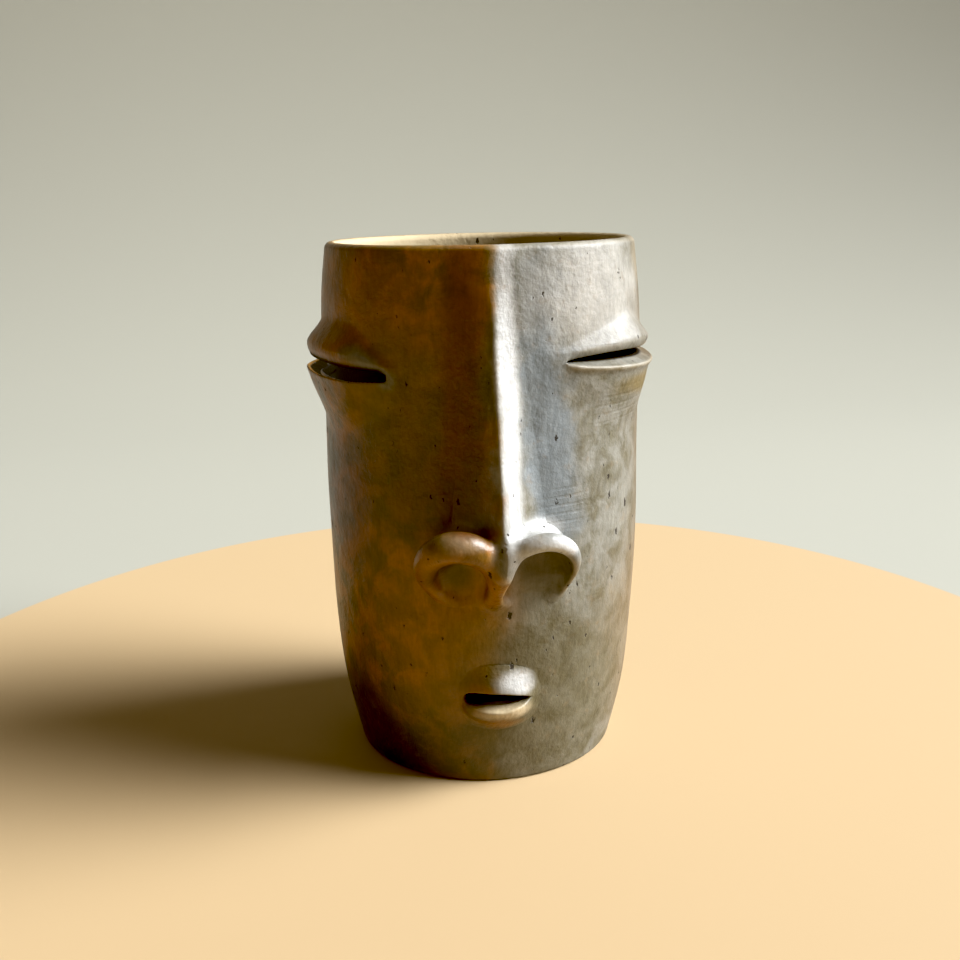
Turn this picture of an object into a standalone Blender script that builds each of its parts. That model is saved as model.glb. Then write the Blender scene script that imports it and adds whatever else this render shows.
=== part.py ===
"""Hand-built face mug of burnished fired clay, as the clay pieces it is luted from.

Frame: metres, +Z up, origin at the centre of the flat underside, face towards -Y.
A place on the wall is given by an angle round the mug (0 at the nose, positive towards +X)
and a height. Neighbouring pieces keep a joint gap, which stands for the luted seam.
"""

import math

import bmesh
import bpy

MM = 0.001

# ---- driving dimensions ----
HEIGHT = 170 * MM
BASE_RADIUS = 44.4 * MM
WALL_THICKNESS = 4.2 * MM
BASE_THICKNESS = 6 * MM
RIM_COIL_HEIGHT = 8 * MM
JOINT_GAP = 0.3 * MM

# height and outer radius of the turned form, foot to rim
OUTER_PROFILE = [
    (0 * MM, BASE_RADIUS),
    (8 * MM, 46.1 * MM),
    (20 * MM, 48.4 * MM),
    (45 * MM, 50.9 * MM),
    (80 * MM, 52.1 * MM),
    (120 * MM, 51.8 * MM),
    (155 * MM, 50.9 * MM),
    (HEIGHT, 49.4 * MM),
]

# eyes: the wall is pushed out from inside, then slit; the left one sits lower and wider
EYE_PUSH = 5.2 * MM
EYE_MOUND_HALF_WIDTH = math.radians(27)
EYE_MOUND_RISE = 13 * MM
EYE_MOUND_FALL = 15 * MM
EYE_SLIT_HALF_HEIGHT = 1.6 * MM
EYES = {
    "left": {"inner": math.radians(-36), "outer": math.radians(-86), "z": 133.0 * MM, "tilt": 1.5 * MM},
    "right": {"inner": math.radians(26), "outer": math.radians(78), "z": 135.5 * MM, "tilt": 0.5 * MM},
}
EYELID_WIDTH = 5 * MM
EYELID_PROUD = 1.5 * MM

# mouth
MOUTH_Z = 32 * MM
MOUTH_HALF_ANGLE = math.radians(11.5)
MOUTH_SLIT_HALF_HEIGHT = 1.7 * MM
UPPER_LIP_WIDTH = 9 * MM
UPPER_LIP_PROUD = 3.2 * MM
LOWER_LIP_WIDTH = 6.5 * MM
LOWER_LIP_PROUD = 3.4 * MM

# nose: a ridge from the rim to the tip, a septum below it and an open cup on each side
NOSE_TIP_RADIUS = 69 * MM
NOSE_TIP_Z = 85 * MM
RIDGE_TOP_PROUD = 2.2 * MM
RIDGE_TOP_HALF_WIDTH = 4.5 * MM
RIDGE_TIP_HALF_WIDTH = 8.5 * MM
SEPTUM_FOOT_Z = 61 * MM
SEPTUM_FOOT_PROUD = 2.0 * MM
SEPTUM_HALF_WIDTH = 2.6 * MM
WING_Z = 76 * MM
WING_ANGLE = math.radians(15.5)
WING_HALF_WIDTH = 13.2 * MM
WING_HALF_HEIGHT = 12.6 * MM
WING_HALF_DEPTH = 13.5 * MM
CUP_RADIUS = 9.6 * MM
CUP_CENTRE_RADIUS = 66 * MM
CUP_CENTRE_DROP = 1.5 * MM

# facets
TURN_SEGMENTS = 64
RING_STEP = 9 * MM
FINE_RING_STEP = 4 * MM
FINE_BAND = (112 * MM, 158 * MM)
LOFT_STATIONS = 13
SHARP_ANGLE = math.radians(50)

CLAY_ROUGHNESS = 0.42


# ---- shape of the wall ----

def turned_radius(z):
    """Outer radius of the turned form at height z, a smooth curve through OUTER_PROFILE."""
    points = OUTER_PROFILE
    z = min(max(z, points[0][0]), points[-1][0])
    index = max(i for i in range(len(points) - 1) if points[i][0] <= z)
    before, start = points[max(index - 1, 0)], points[index]
    end, after = points[index + 1], points[min(index + 2, len(points) - 1)]
    span = end[0] - start[0]
    t = (z - start[0]) / span
    slope_start = (end[1] - before[1]) / (end[0] - before[0]) * span
    slope_end = (after[1] - start[1]) / (after[0] - start[0]) * span
    blend = t * t * (3 - 2 * t)
    ease = t * (1 - t)
    return start[1] * (1 - blend) + end[1] * blend + ease * ((1 - t) * slope_start - t * slope_end)


def eye_mound(eye, angle, z):
    """How far the wall is pushed out at one eye."""
    middle = (eye["inner"] + eye["outer"]) / 2
    across = (angle - middle) / EYE_MOUND_HALF_WIDTH
    reach = EYE_MOUND_RISE if z > eye["z"] else EYE_MOUND_FALL
    along = (z - eye["z"]) / reach
    return EYE_PUSH * math.exp(-across ** 4 - along ** 2)


def wall_radius(angle, z):
    """Outer radius of the wall with both eye mounds."""
    return turned_radius(z) + sum(eye_mound(eye, angle, z) for eye in EYES.values())


def around(angle, z, radius):
    """Point at an angle round the mug, a height and a distance from the axis."""
    return (radius * math.sin(angle), -radius * math.cos(angle), z)


def slit_middle(eye, angle):
    """Height of an eye slit's middle line: it climbs from the inner to the outer corner."""
    share = (angle - eye["inner"]) / (eye["outer"] - eye["inner"])
    return eye["z"] + eye["tilt"] * (2 * share - 1)


def steps(start, end, count):
    """Evenly spaced values from start to end, both included."""
    return [start + (end - start) * i / (count - 1) for i in range(count)]


def turn_angles():
    """Angles once round the mug, from the back over the face to the back."""
    return [math.tau * i / TURN_SEGMENTS - math.pi for i in range(TURN_SEGMENTS)]


# ---- mesh helpers ----

def add_object(name, vertices, faces):
    """New object from points and faces, with its normals turned outwards."""
    mesh = bpy.data.meshes.new(name)
    mesh.from_pydata(vertices, [], faces)
    body = bmesh.new()
    body.from_mesh(mesh)
    bmesh.ops.recalc_face_normals(body, faces=body.faces)
    body.to_mesh(mesh)
    body.free()
    thing = bpy.data.objects.new(name, mesh)
    bpy.context.scene.collection.objects.link(thing)
    return thing


def loft(name, rings, closed_path=False):
    """Closed solid through equal rings of points: capped at both ends, or closed on itself."""
    size = len(rings[0])
    vertices = [point for ring in rings for point in ring]
    faces = []
    for row in range(len(rings) if closed_path else len(rings) - 1):
        here, there = row * size, (row + 1) % len(rings) * size
        for i in range(size):
            j = (i + 1) % size
            faces.append((here + i, here + j, there + j, there + i))
    if not closed_path:
        faces.append(tuple(range(size)))
        faces.append(tuple((len(rings) - 1) * size + i for i in range(size)))
    return add_object(name, vertices, faces)


def turned_ring(name, section):
    """Ring swept round the axis; section(angle) lists (radius, z) pairs of one closed outline."""
    rings = [[around(angle, z, radius) for radius, z in section(angle)] for angle in turn_angles()]
    return loft(name, rings, closed_path=True)


def as_cutter(thing):
    """Keep an object as a tool of the Boolean modifiers only."""
    thing.hide_render = True
    thing.display_type = "WIRE"
    return thing


def cut(thing, cutter):
    """Take a cutter's volume away from an object."""
    modifier = thing.modifiers.new("cut_" + cutter.name, "BOOLEAN")
    modifier.operation = "DIFFERENCE"
    modifier.solver = "EXACT"
    modifier.object = cutter


def add_clay(thing, colour):
    """Burnished clay material and smooth shading with crisp edges."""
    clay = bpy.data.materials.new(thing.name + "_clay")
    clay.use_nodes = True
    shader = clay.node_tree.nodes["Principled BSDF"]
    shader.inputs["Base Color"].default_value = (*colour, 1)
    shader.inputs["Roughness"].default_value = CLAY_ROUGHNESS
    shader.inputs["Metallic"].default_value = 0
    thing.data.materials.append(clay)
    thing.data.shade_smooth()
    thing.data.set_sharp_from_angle(angle=SHARP_ANGLE)


# ---- wall, foot and rim ----

def ring_heights(bottom, top):
    """Heights of the wall's rings, closer together over the eyes."""
    heights = [bottom]
    while heights[-1] < top:
        fine = FINE_BAND[0] <= heights[-1] < FINE_BAND[1]
        heights.append(min(heights[-1] + (FINE_RING_STEP if fine else RING_STEP), top))
    return heights


def make_base_disc():
    """Flat slab that the wall stands on."""
    top = BASE_THICKNESS
    rings = [[around(angle, z, turned_radius(z)) for angle in turn_angles()] for z in (0, top / 2, top)]
    add_clay(loft("base_disc", rings), (0.10, 0.055, 0.02))


def make_body_wall(slits):
    """Wall of coils from the base slab to the rim coil, slit at the eyes and the mouth."""
    heights = ring_heights(BASE_THICKNESS + JOINT_GAP, HEIGHT - RIM_COIL_HEIGHT - JOINT_GAP)

    def section(angle):
        outside = [(wall_radius(angle, z), z) for z in heights]
        coarse = [outside[-1]] + outside[-3:0:-2] + [outside[0]]
        inside = [(radius - WALL_THICKNESS, z) for radius, z in coarse]
        return outside + inside

    wall = turned_ring("body_wall", section)
    for slit in slits:
        cut(wall, slit)
    add_clay(wall, (0.16, 0.09, 0.03))


def make_rim_coil():
    """Rounded coil that finishes the rim."""
    bottom = HEIGHT - RIM_COIL_HEIGHT
    lip = WALL_THICKNESS / 2
    lip_z = HEIGHT - lip
    middle = turned_radius(lip_z) - lip

    def section(angle):
        outside = [(wall_radius(angle, bottom), bottom), (middle + lip, lip_z)]
        round_lip = [(middle + lip * math.cos(turn), lip_z + lip * math.sin(turn))
                     for turn in steps(0, math.pi, 7)[1:-1]]
        inside = [(middle - lip, lip_z), (wall_radius(angle, bottom) - WALL_THICKNESS, bottom)]
        return outside + round_lip + inside

    add_clay(turned_ring("rim_coil", section), (0.30, 0.20, 0.10))


# ---- slits, eyelids and lips ----

def make_slit(name, angles, middle, half_height):
    """Cutter for a leaf-shaped slit right through the wall."""
    rings = []
    tip = 0.25
    for index, angle in enumerate(angles):
        share = index / (len(angles) - 1)
        half = half_height * max(math.sin(math.pi * share) ** 0.5, tip)
        z = middle(angle)
        inner = wall_radius(angle, z) - 3 * WALL_THICKNESS
        outer = wall_radius(angle, z) + 3 * WALL_THICKNESS
        rings.append([around(angle, z - half, inner), around(angle, z - half, outer),
                      around(angle, z + half, outer), around(angle, z + half, inner)])
    return as_cutter(loft(name, rings))


def make_pad(name, angles, edge, width, proud, colour):
    """Crescent of clay on the wall: edge(angle) is its height at the slit, width < 0 hangs down."""
    rings = []
    tip = 0.22
    for index, angle in enumerate(angles):
        share = index / (len(angles) - 1)
        fullness = max(math.sin(math.pi * share) ** 0.6, tip)
        start = edge(angle)
        end = start + width * fullness
        back = [around(angle, z, wall_radius(angle, z) + JOINT_GAP) for z in steps(end, start, 4)]
        front = []
        for turn in steps(0, math.pi / 2, 5):
            z = start + (end - start) * (1 - math.cos(turn))
            lift = JOINT_GAP * 2 + proud * fullness * math.cos(turn)
            front.append(around(angle, z, wall_radius(angle, z) + lift))
        rings.append(back + front)
    add_clay(loft(name, rings), colour)


def make_eye(side, eye):
    """Slit cutter and both eyelids of one eye."""
    angles = steps(eye["inner"], eye["outer"], LOFT_STATIONS)

    def middle(angle):
        return slit_middle(eye, angle)

    def upper_edge(angle):
        return middle(angle) + EYE_SLIT_HALF_HEIGHT

    def lower_edge(angle):
        return middle(angle) - EYE_SLIT_HALF_HEIGHT

    make_pad("eyelid_upper_" + side, angles, upper_edge, EYELID_WIDTH, EYELID_PROUD, (0.26, 0.17, 0.08))
    make_pad("eyelid_lower_" + side, angles, lower_edge, -EYELID_WIDTH, EYELID_PROUD, (0.22, 0.14, 0.06))
    return make_slit("slit_eye_" + side, angles, middle, EYE_SLIT_HALF_HEIGHT)


def make_mouth():
    """Slit cutter and both lips."""
    angles = steps(-MOUTH_HALF_ANGLE, MOUTH_HALF_ANGLE, LOFT_STATIONS)

    def upper_edge(angle):
        return MOUTH_Z + MOUTH_SLIT_HALF_HEIGHT

    def lower_edge(angle):
        return MOUTH_Z - MOUTH_SLIT_HALF_HEIGHT

    make_pad("upper_lip", angles, upper_edge, UPPER_LIP_WIDTH, UPPER_LIP_PROUD, (0.45, 0.30, 0.16))
    make_pad("lower_lip", angles, lower_edge, -LOWER_LIP_WIDTH, LOWER_LIP_PROUD, (0.45, 0.30, 0.16))
    return make_slit("slit_mouth", angles, lambda angle: MOUTH_Z, MOUTH_SLIT_HALF_HEIGHT)


# ---- nose ----

def make_wall_cutter():
    """The wall's whole volume, larger by the joint gap, to seat the nose pieces on."""
    margin = 2 * RING_STEP
    low, high = SEPTUM_FOOT_Z - margin, HEIGHT - RIM_COIL_HEIGHT + JOINT_GAP
    rings = []
    for z in ring_heights(low, high):
        rings.append([around(angle, z, wall_radius(angle, z) + JOINT_GAP) for angle in turn_angles()])
    return as_cutter(loft("cutter_wall", rings))


def ridge_front(z):
    """Radius of the nose's front line: ridge down to the tip, then septum back to the wall."""
    ridge_top = HEIGHT - RIM_COIL_HEIGHT
    if z >= NOSE_TIP_Z:
        share = (ridge_top - z) / (ridge_top - NOSE_TIP_Z)
        top = turned_radius(ridge_top) + RIDGE_TOP_PROUD
        return top + (NOSE_TIP_RADIUS - top) * share
    share = (NOSE_TIP_Z - z) / (NOSE_TIP_Z - SEPTUM_FOOT_Z)
    foot = turned_radius(SEPTUM_FOOT_Z) + SEPTUM_FOOT_PROUD
    return NOSE_TIP_RADIUS + (foot - NOSE_TIP_RADIUS) * share ** 0.8


def bridge_rings(grow):
    """Outline rings of the ridge, larger by grow on its sides and its underside."""
    top = HEIGHT - RIM_COIL_HEIGHT - JOINT_GAP
    rings = []
    for z in steps(NOSE_TIP_Z + JOINT_GAP - grow, top, LOFT_STATIONS):
        share = min((top - z) / (top - NOSE_TIP_Z), 1)
        half = RIDGE_TOP_HALF_WIDTH + (RIDGE_TIP_HALF_WIDTH - RIDGE_TOP_HALF_WIDTH) * share + grow
        front = ridge_front(max(z, NOSE_TIP_Z)) + grow
        back = turned_radius(z) - WALL_THICKNESS
        depth = front - turned_radius(z)
        outline = [(-half, back), (-half, front - depth), (-0.45 * half, front - 0.55 * depth),
                   (-0.16 * half, front - 0.08 * depth), (0.16 * half, front - 0.08 * depth),
                   (0.45 * half, front - 0.55 * depth), (half, front - depth), (half, back)]
        rings.append([(x, -radius, z) for x, radius in outline])
    return rings


def make_nose_bridge(wall_cutter):
    """Ridge from the rim to the tip: blunt crest and hollow flanks."""
    bridge = loft("nose_bridge", bridge_rings(0))
    cut(bridge, wall_cutter)
    add_clay(bridge, (0.50, 0.38, 0.26))


def septum_rings(grow):
    """Outline rings of the septum bar, larger by grow on its two sides and its top."""
    half = SEPTUM_HALF_WIDTH + grow
    rings = []
    for z in steps(SEPTUM_FOOT_Z, NOSE_TIP_Z - JOINT_GAP / 2 + grow, 9):
        front = ridge_front(min(z, NOSE_TIP_Z)) + grow
        back = turned_radius(z) - WALL_THICKNESS
        chamfer = 0.5 * half
        rings.append([(-half, -back, z), (-half, -(front - chamfer), z), (-half + chamfer, -front, z),
                      (half - chamfer, -front, z), (half, -(front - chamfer), z), (half, -back, z)])
    return rings


def make_nose_septum(wall_cutter):
    """Bar between the two nostril cups."""
    septum = loft("nose_septum", septum_rings(0))
    cut(septum, wall_cutter)
    add_clay(septum, (0.32, 0.20, 0.08))


def ellipsoid(name, centre, half_sizes, segments, rings):
    """Round body with its poles up and down."""
    mesh = bpy.data.meshes.new(name)
    body = bmesh.new()
    bmesh.ops.create_uvsphere(body, u_segments=segments, v_segments=rings, radius=1)
    bmesh.ops.scale(body, vec=half_sizes, verts=body.verts)
    body.to_mesh(mesh)
    body.free()
    thing = bpy.data.objects.new(name, mesh)
    thing.location = centre
    bpy.context.scene.collection.objects.link(thing)
    return thing


def make_nose_wing(side, sign, wall_cutter, septum_cutter, bridge_cutter):
    """Rolled ring round one nostril cup, standing on the wall beside the septum."""
    angle = sign * WING_ANGLE
    seat = around(angle, WING_Z, turned_radius(WING_Z))
    wing = ellipsoid("nose_wing_" + side, seat, (WING_HALF_WIDTH, WING_HALF_DEPTH, WING_HALF_HEIGHT), 32, 18)
    cup_centre = around(angle, WING_Z - CUP_CENTRE_DROP, CUP_CENTRE_RADIUS)
    cup_sizes = (CUP_RADIUS, 1.1 * CUP_RADIUS, CUP_RADIUS)
    cup = as_cutter(ellipsoid("cutter_cup_" + side, cup_centre, cup_sizes, 28, 16))
    for cutter in (wall_cutter, cup, septum_cutter, bridge_cutter):
        cut(wing, cutter)
    add_clay(wing, (0.34, 0.21, 0.09))


def build():
    """Clear the scene and make every piece."""
    for old in list(bpy.data.objects):
        bpy.data.objects.remove(old, do_unlink=True)
    slits = [make_eye(side, eye) for side, eye in EYES.items()]
    slits.append(make_mouth())
    make_base_disc()
    make_body_wall(slits)
    make_rim_coil()
    wall_cutter = make_wall_cutter()
    septum_cutter = as_cutter(loft("cutter_septum", septum_rings(JOINT_GAP)))
    bridge_cutter = as_cutter(loft("cutter_bridge", bridge_rings(JOINT_GAP)))
    make_nose_bridge(wall_cutter)
    make_nose_septum(wall_cutter)
    for side, sign in (("left", -1), ("right", 1)):
        make_nose_wing(side, sign, wall_cutter, septum_cutter, bridge_cutter)


build()
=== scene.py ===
"""Looks of the face mug: its clay pieces as finely sculpted bodies with a burnished, smoke-fired surface.

The turned wall is a grid that goes under the foot, up the outside, over the rim and down inside. The
modelled pieces (nose, eyelids, lips) are sculpted as fields, below zero inside the clay, and meshed.
Each blends into the wall's own surface and sinks a hair below it at its edge, so that no seam shows.
Sculpting lengths are in millimetres and angles round the mug in radians: 0 at the nose, positive
towards +X. The face looks towards -Y.
"""

import math

import bpy
import numpy as np
from mathutils import Euler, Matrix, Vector


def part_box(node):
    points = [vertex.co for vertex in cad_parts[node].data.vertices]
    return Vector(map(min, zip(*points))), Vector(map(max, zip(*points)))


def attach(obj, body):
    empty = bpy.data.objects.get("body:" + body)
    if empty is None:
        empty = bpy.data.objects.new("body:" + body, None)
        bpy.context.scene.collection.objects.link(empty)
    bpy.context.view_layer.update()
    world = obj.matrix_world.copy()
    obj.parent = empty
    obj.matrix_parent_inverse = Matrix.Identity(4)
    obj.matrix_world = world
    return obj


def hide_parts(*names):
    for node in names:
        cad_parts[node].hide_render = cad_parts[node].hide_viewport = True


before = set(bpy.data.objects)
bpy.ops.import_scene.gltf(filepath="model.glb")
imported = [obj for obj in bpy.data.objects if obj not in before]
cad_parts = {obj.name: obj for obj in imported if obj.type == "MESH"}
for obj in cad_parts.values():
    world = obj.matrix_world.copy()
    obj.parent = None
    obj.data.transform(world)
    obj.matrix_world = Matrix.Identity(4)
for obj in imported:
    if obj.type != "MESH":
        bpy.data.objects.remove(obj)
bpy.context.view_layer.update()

MM = 0.001

# ---- the turned form ----
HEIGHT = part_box("rim_coil")[1].z / MM
FOOT_RADIUS = 44.4
WALL = 4.2
FLOOR_THICKNESS = 6.0
RIM_BOTTOM = HEIGHT - 8.0
OUTER_PROFILE = np.array([
    (-8, 43.2), (0, FOOT_RADIUS), (8, 46.1), (20, 48.4), (45, 50.9), (80, 52.1), (120, 51.6),
    (155, 51.0), (HEIGHT, 49.4), (178, 48.4),
])
FOOT_BEVEL = 1.6
FLOOR_FILLET = 9.0
LEAN = 1.5
# Blunt upright corner down the middle of the face: how proud and wide it is, and where it fades in.
CORNER_PROUD = 2.4
CORNER_WIDTH = 14.0
CORNER_BLUNT = 0.012
CORNER_HEIGHTS = (60, 110)
# Distances from the axis at which lengths round the face, the mouth, the lips and the corner are measured.
FRONT_RADIUS = 52.0
MOUTH_RADIUS = FOOT_RADIUS * 1.18
LIP_RADIUS = 51.0
CORNER_RADIUS = 50.0
# Swells left by the hands: how high, how many waves, and a wave's steepest turn in radians a millimetre up.
UNEVEN = 0.28
WAVES = 14
WAVE_RISE = 0.11
SEED = 7

# ---- wear, soot, painted highlights and painted shade ----
# Inside the wall the clay is darkened, as soot and as painted shade, from a depth below its outer skin, and
# above the foot's underside.
SHADE_AND_SOOT_DEPTH = 2.0
SHADE_AND_SOOT_BLEND = 0.8
SHADE_AND_SOOT_HEIGHTS = (2, 4)
RIM_WEAR = 0.45
FOOT_WEAR = 0.2
# Lips and nose pieces: how pale their proud edges turn, as wear and as painted highlight, and how dark their
# creases, as painted shade.
LIP_WEAR_AND_SHADING = 0.35
NOSE_WEAR_AND_SHADING = {"nose_bridge": 0.8, "nose_septum": 0.8, "nose_wing_left": 0.15, "nose_wing_right": 0.8}

# ---- eyes ----
# ends, rise and fall: lengths in which an eye's mound grows from its ends, above its slit and below it.
# sill and bevel: how much the slit's lower and upper faces rise for each millimetre of depth.
# edge: rounding of the slit's rims. roll: how far the lower lid rolls out.
# The last two of each eye scale how pale its edges turn, as wear and as painted highlight, and how dark its
# creases, as painted shade; and set the depth at which its cut faces turn dark, as soot and as painted
# shade.
EYE_PROUD = 5.0
EYES = {
    "left": {
        "inner": math.radians(-35.5), "outer": math.radians(-98), "z_inner": 132.2, "z_outer": 133.2,
        "half_height": 1.95, "blunt": 0.5, "taper": 0.6, "ends": (-5, 14), "rise": (4.0, 12.6), "fall": 20.0,
        "sill": -0.6, "bevel": 0.0, "edge": 0.5, "roll": 0.5, "wear_and_shading": 0.1, "shade_and_soot_depth": 0.1,
    },
    "right": {
        "inner": math.radians(25.0), "outer": math.radians(87), "z_inner": 136.0, "z_outer": 134.6,
        "half_height": 2.2, "blunt": 0.08, "taper": 0.9, "ends": (-9, 30), "rise": (1.6, 12.5), "fall": 24.0,
        "sill": 0.45, "bevel": 0.5, "edge": 1.3, "roll": 1.8, "wear_and_shading": 0.6, "shade_and_soot_depth": 2.2,
    },
}
SLIT_BOW = 0.5
SLIT_OUTER_BLUNT = 0.3
SLIT_CLOSING = 14
LID_BAND = 6.5
LID_CURL = 0.9
LID_EDGE_REACH = 1.9
HOLE_MARGIN = 3.0

# ---- mouth ----
MOUTH_Z = 32.6
MOUTH_HALF_WIDTH = 10.3
MOUTH_HALF_HEIGHT = 2.2
MOUTH_DROP = 0.04
MOUTH_ARCH = 0.9
MOUTH_EDGE = 0.9
LOWER_LIP_SLOPE = 0.12
LOWER_LIP_BACK_SLOPE = 0.6
LOWER_LIP_PLACE = (0.0, -0.8, MOUTH_Z - 2.6)
LOWER_LIP_HALF = (11.2, 6.0, 6.1)
LEDGE_START = 1.0
UPPER_LIP_PROUD = 5.2
UPPER_LIP_HALF = (14.2, 14.4)
LIP_REACH = 11.5

# ---- nose ----
TIP_Z = 80.5
TIP_RADIUS = 69.0
RIDGE_TOP_Z = 161.5
SEPTUM_TOP = (0.6, -64.2, 78.0)
SEPTUM_FOOT = (-1.0, -47.0, 63.0)
SEPTUM_RADII = (3.2, 4.0)
# Each nostril's ring has its centre's place on the mug, half sizes of its middle line and its tube's radius.
# Its cup has half sizes, a shift along the ring's axes and the rounding of its edge.
RING_TILT = math.radians(38)
RING = {
    "left": {"angle": -10.8, "radius": 57.5, "z": 76.3, "half": (10.2, 13.6), "tube": 4.3,
             "cup": (7.4, 10.0, 5.6), "cup_shift": (0.9, -2.2, 1.6), "cup_edge": 2.4},
    "right": {"angle": 11.5, "radius": 57.5, "z": 75.3, "half": (11.3, 16.2), "tube": 2.5,
              "cup": (10.9, 15.0, 8.6), "cup_shift": (0.2, -1.6, 1.8), "cup_edge": 1.0},
}
NECK_SHARE = 0.25
CUP_FLOOR = 0.6
CUP_FLOOR_FILLET = 3.0
NOSE_FILLET = {"nose_septum": 2.6, "nose_wing_left": 3.6, "nose_wing_right": 4.4}
NOSE_OVERLAP = 0.7
NOSE_REACH = 4.0
NOSE_ROOT = 3.0

# ---- meshing ----
SINK = 0.06
NOSE_STEP = 0.55
LIP_STEP = 0.42
LID_STEP = 0.5


# ---- fields ----

def smooth_min(a, b, radius):
    """Union of two fields with a fillet about radius wide."""
    share = np.clip(0.5 + 0.5 * (b - a) / radius, 0, 1)
    return b + (a - b) * share - radius * share * (1 - share)


def smooth_max(a, b, radius):
    """Intersection of two fields with a rounded edge."""
    return -smooth_min(-a, -b, radius)


def smooth_step(low, high, value):
    """0 below low, 1 above high, and smooth between."""
    t = np.clip((value - low) / (high - low), 0, 1)
    return t * t * (3 - 2 * t)


def smooth_curve(knots, value):
    """Smooth curve through (position, value) knots."""
    x, y = knots[:, 0], knots[:, 1]
    slope = np.gradient(y, x)
    i = np.clip(np.searchsorted(x, value) - 1, 0, len(x) - 2)
    span = x[i + 1] - x[i]
    t = np.clip((value - x[i]) / span, 0, 1)
    blend = t * t * (3 - 2 * t)
    ease = t * (1 - t) * span
    return y[i] * (1 - blend) + y[i + 1] * blend + ease * ((1 - t) * slope[i] - t * slope[i + 1])


def ellipsoid(points, centre, axes, sizes):
    """Near-distance to an ellipsoid with the given unit axes and half sizes."""
    local = (points - centre) @ axes.T
    near = np.linalg.norm(local / sizes, axis=1)
    steep = np.linalg.norm(local / sizes ** 2, axis=1) + 1e-9
    return near * (near - 1) / steep


def capsule(points, start, end, radius_start, radius_end):
    """Distance to a bar with round ends and a radius that changes along it."""
    along = end - start
    share = np.clip((points - start) @ along / (along @ along), 0, 1)
    return np.linalg.norm(points - start - share[:, None] * along, axis=1) - (
        radius_start + (radius_end - radius_start) * share)


def polar(points):
    """Angle round the mug, distance from its axis and height of each point."""
    x, y, z = points.T
    return np.arctan2(x, -y), np.hypot(x, y), z


def on_mug(angle, radius, z):
    """Point at an angle round the mug, a distance from its axis and a height."""
    return np.array([radius * math.sin(angle), -radius * math.cos(angle), z])


# ---- the wall's own surface ----

def unevenness(angle, z):
    """Slow swells of a wall shaped by hand: a few waves that close round the mug."""
    random = np.random.default_rng(SEED)
    total = 0
    for _ in range(WAVES):
        turns = random.integers(1, 9)
        rise = random.uniform(-WAVE_RISE, WAVE_RISE)
        phase = random.uniform(0, math.tau)
        total = total + np.sin(turns * angle + rise * z + phase) / (1 + 0.25 * turns)
    return UNEVEN * total / 2.2


def eye_share(eye, angle):
    """0 at an eye's inner corner and 1 at its outer one."""
    return (angle - eye["inner"]) / (eye["outer"] - eye["inner"])


def slit_z(eye, angle):
    """Height of an eye slit's middle line, bowed a little upwards."""
    share = eye_share(eye, angle)
    bow = SLIT_BOW * np.sin(math.pi * np.clip(share, 0, 1))
    return eye["z_inner"] + (eye["z_outer"] - eye["z_inner"]) * share + bow


def slit_half(eye, angle):
    """Half of an eye slit's opening; zero outside its corners."""
    share = eye_share(eye, angle)
    inside = np.clip(share * (1 - share) * 4, 0, 1)
    corner = np.where(share < 0.5, eye["blunt"], SLIT_OUTER_BLUNT)
    opening = corner + (1 - corner) * inside ** eye["taper"]
    closing = np.minimum(1, inside * SLIT_CLOSING) ** 0.5
    return np.where((share > 0) & (share < 1), eye["half_height"] * opening * closing, 0)


def eye_mound(eye, angle, z):
    """How far the wall is pushed out at one eye: a round roll above the slit, a long slope below it.

    Both grow shorter towards the eye's ends: the roll to a fifth of its length, the slope to under a half.
    """
    first, last = sorted((eye["inner"], eye["outer"]))
    from_end = np.minimum(angle - first, last - angle) * FRONT_RADIUS
    above = np.maximum(z - slit_z(eye, angle) - eye["half_height"], 0)
    below = np.maximum(slit_z(eye, angle) - z - eye["half_height"], 0)
    rise_share = 0.2 + 0.8 * smooth_step(-3, eye["ends"][1] + 3, from_end)
    fall_share = 0.45 + 0.55 * smooth_step(-5, 25, from_end)
    rise = 1 - smooth_step(*eye["rise"], above / rise_share)
    fall = 1 - smooth_step(0.5, eye["fall"], below / fall_share)
    return EYE_PROUD * smooth_step(*eye["ends"], from_end) * rise * fall


def wall_radius(angle, z):
    """Outer radius of the wall: turned form, eye mounds, blunt front corner and unevenness."""
    angle = (angle + math.pi) % math.tau - math.pi
    radius = smooth_curve(OUTER_PROFILE, z) + unevenness(angle, z)
    for eye in EYES.values():
        radius = radius + eye_mound(eye, angle, z)
    across = np.clip(np.abs(angle) * CORNER_RADIUS / CORNER_WIDTH, 0, 1)
    corner = np.clip(1 - np.sqrt(across ** 2 + CORNER_BLUNT), 0, 1) ** 2
    corner_proud = CORNER_PROUD * smooth_step(*CORNER_HEIGHTS, z) * corner
    return radius + LEAN * z / HEIGHT * np.sin(angle) + corner_proud


def wall_field(points):
    """Distance outside the wall's outer surface."""
    angle, radius, z = polar(points)
    return radius - wall_radius(angle, z)


# ---- mesh building ----

def edge_bend(field, points):
    """Bend of a field's surface: positive on proud edges, which are made paler as wear and as painted
    highlight, negative in creases, which are darkened as painted shade.
    """
    reach = 0.8
    around = [field(points + side * reach * axis) for axis in np.eye(3) for side in (-1, 1)]
    return np.clip((np.sum(around, axis=0) - 6 * field(points)) / reach ** 2, -1, 1)


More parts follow.
